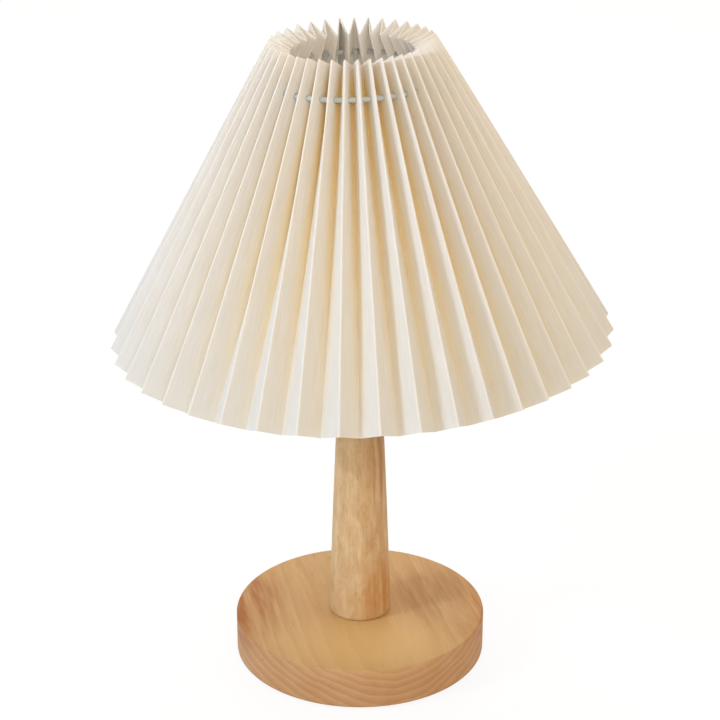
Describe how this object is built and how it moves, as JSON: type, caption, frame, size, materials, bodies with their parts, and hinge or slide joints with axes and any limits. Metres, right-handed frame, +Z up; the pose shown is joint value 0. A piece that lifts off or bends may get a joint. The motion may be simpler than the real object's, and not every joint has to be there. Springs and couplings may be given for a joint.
{
  "type": "table lamp",
  "caption": "Table lamp with a round wooden base, a slender tapering wooden post and a cone-shaped pleated cream shade on a wire frame, with a screw-in lamp.",
  "frame": {"origin": "centre of the base's underside, on the floor", "axes": "+Z up the post, -Y towards the viewer of the picture, +X to that viewer's right"},
  "size_m": [0.2875, 0.2879, 0.3819],
  "materials": {
    "wood": "satin oiled light hardwood",
    "felt": "dark pressed felt",
    "grey_rubber": "matt grey bush",
    "zinc_steel": "zinc plated",
    "white_plastic": "satin moulded",
    "steatite": "unglazed",
    "brass": "bright",
    "nickel": "nickel plated",
    "black_plastic": "glossy",
    "board_aluminium": "white solder mask",
    "opal": "opal diffuser",
    "wire": "pale grey coated steel wire",
    "pleated_paper": "cream pleated sheet, lightly textured"
  },
  "bodies": {
    "stand": {"base_disc": "wood", "base_pad": "felt", "cord_grommet": "grey_rubber", "stand_tube": "zinc_steel", "base_washer": "zinc_steel", "lock_washer": "zinc_steel", "base_nut": "zinc_steel", "post": "wood", "neck_washer": "zinc_steel", "holder_cap": "white_plastic", "cap_grub_screw": "zinc_steel", "holder_shell": "white_plastic", "holder_insert": "steatite", "screw_shell": "brass", "centre_contact": "brass", "terminal_screws": "brass"},
    "shade": {"pleated_sheet": "pleated_paper", "fitter_ring": "wire", "spider_arms": "wire", "top_ring": "wire", "bottom_ring": "wire", "frame_ribs": "wire"},
    "ring_nut": {"shade_ring_nut": "white_plastic"},
    "lamp_tip": {"bulb_tip": "nickel", "bulb_insulator": "black_plastic"},
    "lamp": {"bulb_cap": "nickel", "bulb_housing": "white_plastic", "led_board": "board_aluminium", "bulb_globe": "opal"}
  },
  "joints": [
    {"name": "shade_turn", "type": "hinge", "parent": "stand", "child": "shade", "pos_m": [0, 0, 0.24425], "axis": [0, 0, 1], "continuous": true},
    {"name": "ring_nut_turn", "type": "hinge", "parent": "stand", "child": "ring_nut", "pos_m": [0, 0, 0.24425], "axis": [0, 0, 1], "range_deg": [0, 90]},
    {"name": "lamp_lift", "type": "slide", "parent": "stand", "child": "lamp_tip", "axis": [0, 0, 1], "range_m": [0, 0.01633]},
    {"name": "lamp_turn", "type": "hinge", "parent": "lamp_tip", "child": "lamp", "pos_m": [0, 0, 0.24425], "axis": [0, 0, 1], "range_deg": [0, 1620]}
  ],
  "couplings": [
    {"joint": "lamp_lift", "follows": "lamp_turn", "m_per_rad": 0.00057757}
  ]
}
